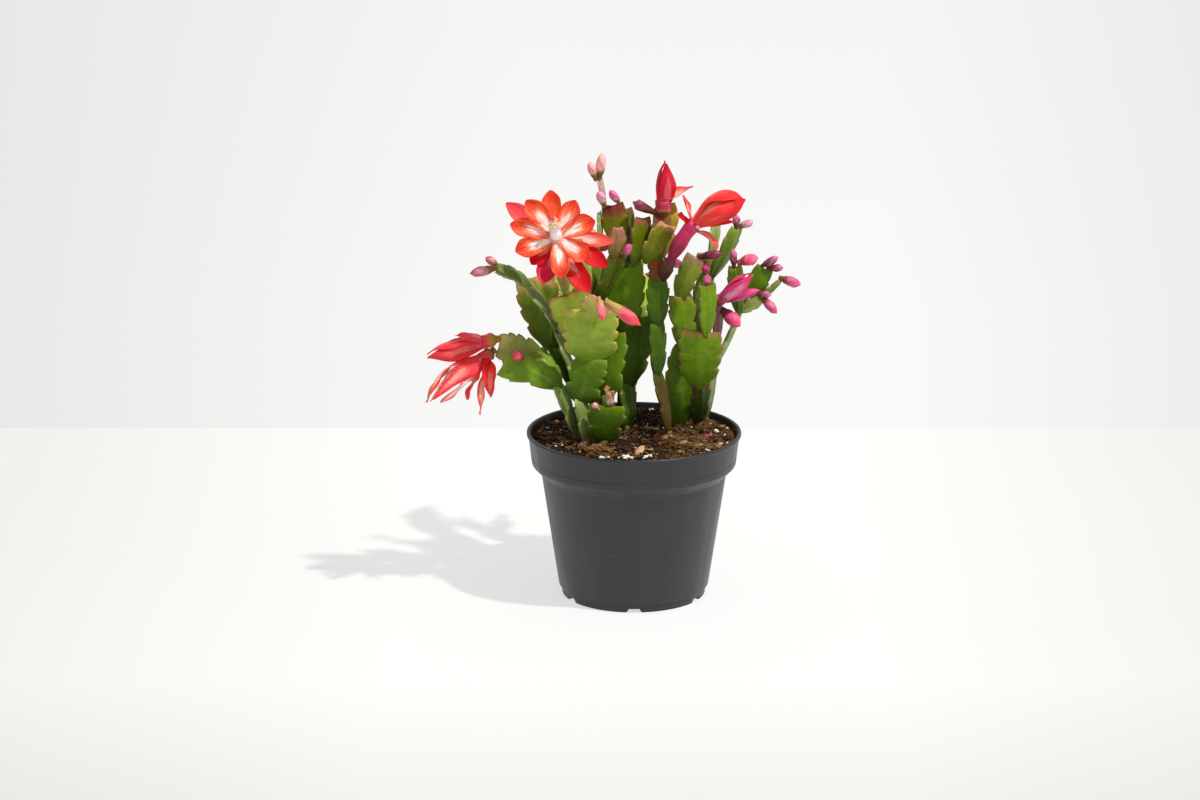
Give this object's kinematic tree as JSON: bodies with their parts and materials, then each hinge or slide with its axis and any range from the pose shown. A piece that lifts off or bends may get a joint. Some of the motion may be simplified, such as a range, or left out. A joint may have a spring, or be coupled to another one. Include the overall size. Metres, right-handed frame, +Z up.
{
  "type": "potted christmas cactus",
  "caption": "Christmas cactus with flat, toothed, jointed green pads, red and magenta blooms and pink buds, growing in soil in a round dark nursery pot.",
  "frame": {"origin": "middle of the pot's foot, on the table", "axes": "+Z up; the plant's front faces -Y; +X is the right-hand side for someone who faces the front"},
  "size_m": [0.1914, 0.1449, 0.2294],
  "materials": {
    "pot_plastic": "satin moulded plastic, dark grey",
    "soil": "loose dark potting mix",
    "pads": "smooth waxy green skin",
    "petals": "silky red petals, paler inside",
    "buds": "smooth, pink with a brownish cup",
    "dry_flower": "dry and papery, brown"
  },
  "bodies": {
    "root": {"pot": "pot_plastic", "soil": "soil", "stem_left_arch": "pads", "stem_left_low": "pads", "stem_front": "pads", "stem_front_inner": "pads", "stem_front_short": "pads", "stem_middle_left": "pads", "stem_middle": "pads", "stem_right_brown": "pads", "stem_right_front": "pads", "stem_right_inner": "pads", "stem_right_outer": "pads", "stem_back_right": "pads", "stem_back_left": "pads", "stem_back_middle": "pads", "bloom_left_closed": "petals", "bloom_left_hanging": "petals", "bloom_front_open": "petals", "bloom_top_closed": "petals", "bloom_right_open": "petals", "bloom_right_spindle": "petals", "bloom_back_closed": "petals", "dried_flower": "dry_flower", "bud_01": "buds", "bud_02": "buds", "bud_03": "buds", "bud_04": "buds", "bud_05": "buds", "bud_06": "buds", "bud_07": "buds", "bud_08": "buds", "bud_09": "buds", "bud_10": "buds", "bud_11": "buds", "bud_12": "buds", "bud_13": "buds", "bud_14": "buds", "bud_15": "buds", "bud_16": "buds", "bud_17": "buds", "bud_18": "buds", "bud_19": "buds", "bud_20": "buds", "bud_21": "buds", "bud_22": "buds", "bud_23": "buds", "bud_24": "buds", "bud_25": "buds", "bud_26": "buds", "bud_27": "buds", "bud_28": "buds", "bud_29": "buds", "bud_30": "buds", "bud_31": "buds", "bud_32": "buds"}
  },
  "joints": []
}
